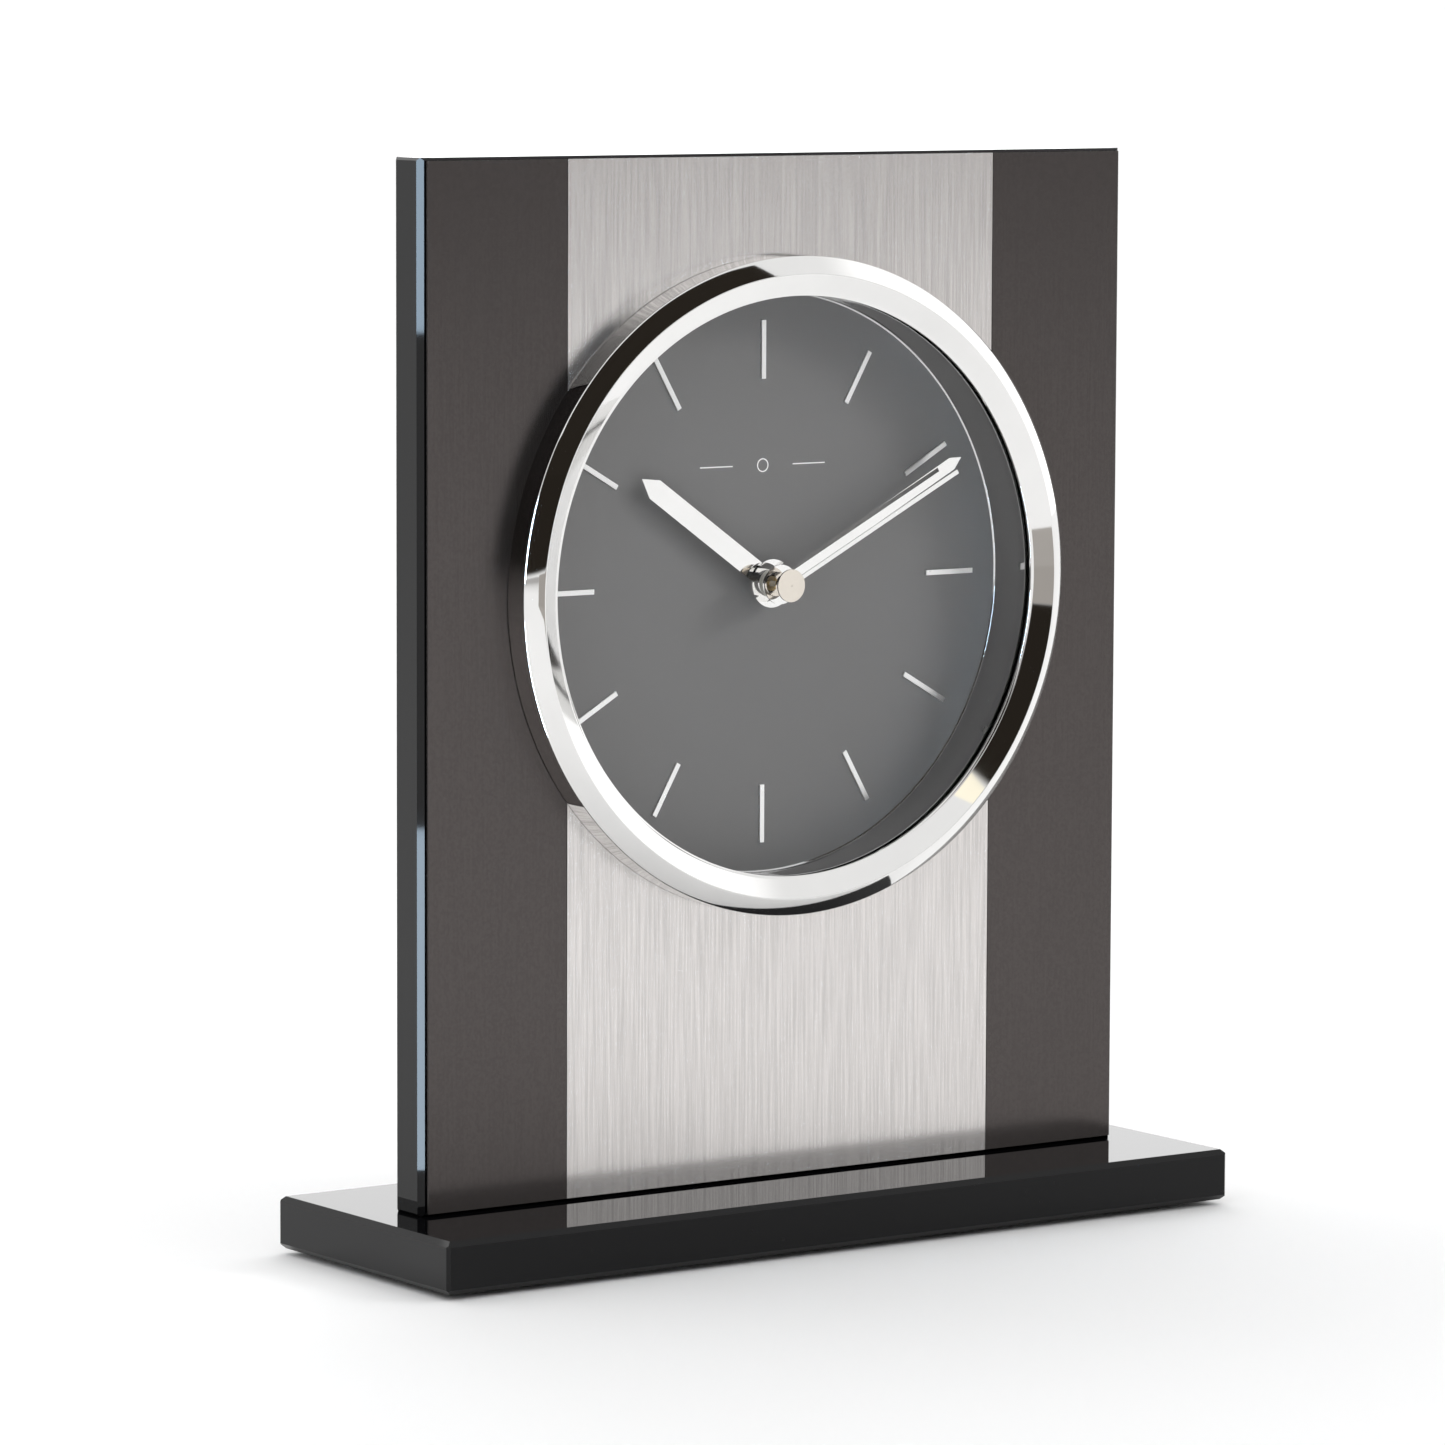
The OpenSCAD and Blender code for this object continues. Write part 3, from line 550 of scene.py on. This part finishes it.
def card(name, corners, color, strength):
    """Board, flag or lamp beside the set, which shows only in polished surfaces."""
    s = Shade(name)
    glow = s.nt.nodes.new("ShaderNodeEmission")
    glow.inputs["Color"].default_value = (*color, 1)
    path = s.nt.nodes.new("ShaderNodeLightPath")
    first = s.maths("LESS_THAN", path.outputs["Glossy Depth"], 1.5)
    s.set(glow.inputs["Strength"], s.maths("MULTIPLY", first, strength))
    s.nt.links.new(glow.outputs[0], s.out.inputs["Surface"])
    s.mat.cycles.emission_sampling = "NONE"
    board = plane(name, corners, s.mat)
    for kind in ("camera", "diffuse", "transmission", "shadow", "volume_scatter"):
        setattr(board, "visible_" + kind, False)


def upright(a, b, low, high):
    """Corners of an upright board over the floor line from a to b."""
    return [(*a, low), (*b, low), (*b, high), (*a, high)]


BLUE_WINDOW = (0.62, 0.81, 1.0)
BLUE_BOUNCE = (0.66, 0.83, 1.0)
ROOM_BLACK = (0.022, 0.018, 0.014)
LOW_Z, MAT_Z = 0.003, 0.002
FLAG_Y, LAMP_Y = -0.47, -0.46
LOW_BOARD = [(-0.15, -0.075), (-0.17, -0.035), (-0.64, -0.32), (-0.60, -0.38)]
GREY_MAT = [(-0.16, -0.50), (-0.62, -1.05), (-0.2, -1.05), (-0.10, -0.60)]
FLAG = [(-0.36, 0.36), (-0.17, 0.28), (-0.075, 0.39), (0.06, 0.505), (0.255, 0.615),
        (0.38, 0.655), (0.48, 1.14), (-0.02, 0.98), (-0.25, 0.78), (-0.38, 0.56)]
LAMP = [(-0.02, 0.366), (0.018, 0.366), (0.03, 0.402), (-0.02, 0.402)]

card("left_board", upright((-1.0, -0.45), (-0.78, -0.74), 0.12, 0.5), BLUE_WINDOW, 24.0)
card("low_board", [(x, y, LOW_Z) for x, y in LOW_BOARD], BLUE_BOUNCE, 25.0)
card("grey_board", upright((-0.62, -1.05), (-0.2, -1.05), 0.0, 0.13), (0.40, 0.375, 0.35), 1.0)
card("grey_mat", [(x, y, MAT_Z) for x, y in GREY_MAT], (0.44, 0.415, 0.39), 1.0)
card("black_flag", [(x, FLAG_Y, z) for x, z in FLAG], ROOM_BLACK, 1.0)
card("warm_lamp", [(x, LAMP_Y, z) for x, z in LAMP], (1.0, 0.94, 0.76), 1.2)

world = bpy.data.worlds.new("studio")
bpy.context.scene.world = world
world.use_nodes = True
wt = world.node_tree
wt.nodes.clear()


def world_set(socket, value):
    """Joins a socket to this one, or sets this one to a number or a colour."""
    if isinstance(value, bpy.types.NodeSocket):
        wt.links.new(value, socket)
    else:
        socket.default_value = value


def world_node(kind, **inputs):
    node = wt.nodes.new(kind)
    for key, value in inputs.items():
        world_set(node.inputs[key.replace("_", " ")], value)
    return node


def world_maths(how, a, b=0.0):
    node = wt.nodes.new("ShaderNodeMath")
    node.operation = how
    for socket, value in zip(node.inputs, (a, b)):
        world_set(socket, value)
    return node.outputs[0]


def world_step(value, a, b):
    """0 below a, 1 above b, and smooth between."""
    node = world_node("ShaderNodeMapRange", Value=value, From_Min=a, From_Max=b, To_Min=0.0, To_Max=1.0)
    node.interpolation_type = "SMOOTHSTEP"
    return node.outputs[0]


# The room in front of the clock has a black zone, which the metal mirrors. Its lower edge rises to the
# right, and a black skirting runs along the floor. A direction's turn is its angle from straight ahead.
ZONE_TOP = 0.525
ZONE_SLOPE, ZONE_START, ZONE_RISE = 2.7, -0.05, 0.54
ZONE_LEFT = (-0.80, -0.74)
ZONE_RIGHT = (-0.82, -0.76)
SKIRTING_TOP = 0.11
SOFT_EDGE = 0.02

ray = world_node("ShaderNodeTexCoord").outputs["Generated"]
xyz = wt.nodes.new("ShaderNodeSeparateXYZ")
wt.links.new(ray, xyz.inputs[0])
dx, dy, dz = xyz.outputs
turn = world_maths("ARCTAN2", dx, world_maths("MULTIPLY", dy, -1.0))
low_edge = world_maths("MULTIPLY", world_maths("SUBTRACT", turn, ZONE_START), ZONE_SLOPE)
low_edge = world_maths("MINIMUM", world_maths("MAXIMUM", low_edge, 0.0), ZONE_RISE)
inside = world_step(world_maths("SUBTRACT", dz, low_edge), 0.0, 0.03)
inside = world_maths("MULTIPLY", inside, world_step(world_maths("SUBTRACT", ZONE_TOP, dz), -0.01, 0.01))
above_floor = world_step(dz, 0.0, SOFT_EDGE)
below_skirting_top = world_step(world_maths("SUBTRACT", SKIRTING_TOP, dz), 0.0, SOFT_EDGE)
inside = world_maths("MAXIMUM", inside, world_maths("MULTIPLY", above_floor, below_skirting_top))
inside = world_maths("MULTIPLY", inside, world_step(turn, *ZONE_LEFT))
inside = world_maths("MULTIPLY", inside, world_step(world_maths("MULTIPLY", turn, -1.0), *ZONE_RIGHT))
tone = wt.nodes.new("ShaderNodeMix")
tone.data_type = "RGBA"
wt.links.new(inside, tone.inputs["Factor"])
tone.inputs["A"].default_value = (1.0, 1.0, 1.0, 1)
tone.inputs["B"].default_value = (*ROOM_BLACK, 1)
ROOM_LIGHT, BACKDROP_LIGHT, SIDE_LIGHT = 0.93, 1.05, 0.36
backdrop = world_maths("MULTIPLY", world_step(dx, 0.1, 0.3), world_step(dy, 0.1, 0.3))
side_wall = world_maths("MULTIPLY", world_step(dx, 0.62, 0.75), SIDE_LIGHT)
room = world_maths("ADD", ROOM_LIGHT, world_maths("MULTIPLY", backdrop, BACKDROP_LIGHT))
strength = world_maths("ADD", side_wall, room)
background = world_node("ShaderNodeBackground", Color=tone.outputs["Result"], Strength=strength)
world_out = wt.nodes.new("ShaderNodeOutputWorld")
wt.links.new(background.outputs[0], world_out.inputs["Surface"])


# --------------------------------------------------------------------- camera

AZIMUTH, ELEVATION, ROLL = math.radians(-35.049), math.radians(6.15), math.radians(0.212)
DISTANCE = 1.3096
LENS_MM, SENSOR_MM = 173.61, 36
TARGET = Vector((-0.0067, 0.0043, 0.0964))
back = Vector((math.sin(AZIMUTH) * math.cos(ELEVATION), -math.cos(AZIMUTH) * math.cos(ELEVATION),
               math.sin(ELEVATION)))
right = (-back).cross(Vector((0, 0, 1))).normalized()
up = right.cross(-back).normalized()
cam_x = right * math.cos(ROLL) + up * math.sin(ROLL)
cam_y = up * math.cos(ROLL) - right * math.sin(ROLL)
optics = bpy.data.cameras.new("camera")
optics.sensor_width = SENSOR_MM
optics.lens = LENS_MM
optics.clip_start, optics.clip_end = 0.05, 100
camera = bpy.data.objects.new("camera", optics)
matrix = camera.matrix_world.copy()
for i in range(3):
    matrix[i][0], matrix[i][1], matrix[i][2] = cam_x[i], cam_y[i], back[i]
matrix.translation = TARGET + back * DISTANCE
camera.matrix_world = matrix
bpy.context.scene.collection.objects.link(camera)
bpy.context.scene.camera = camera
bpy.context.scene.view_settings.view_transform = "Standard"
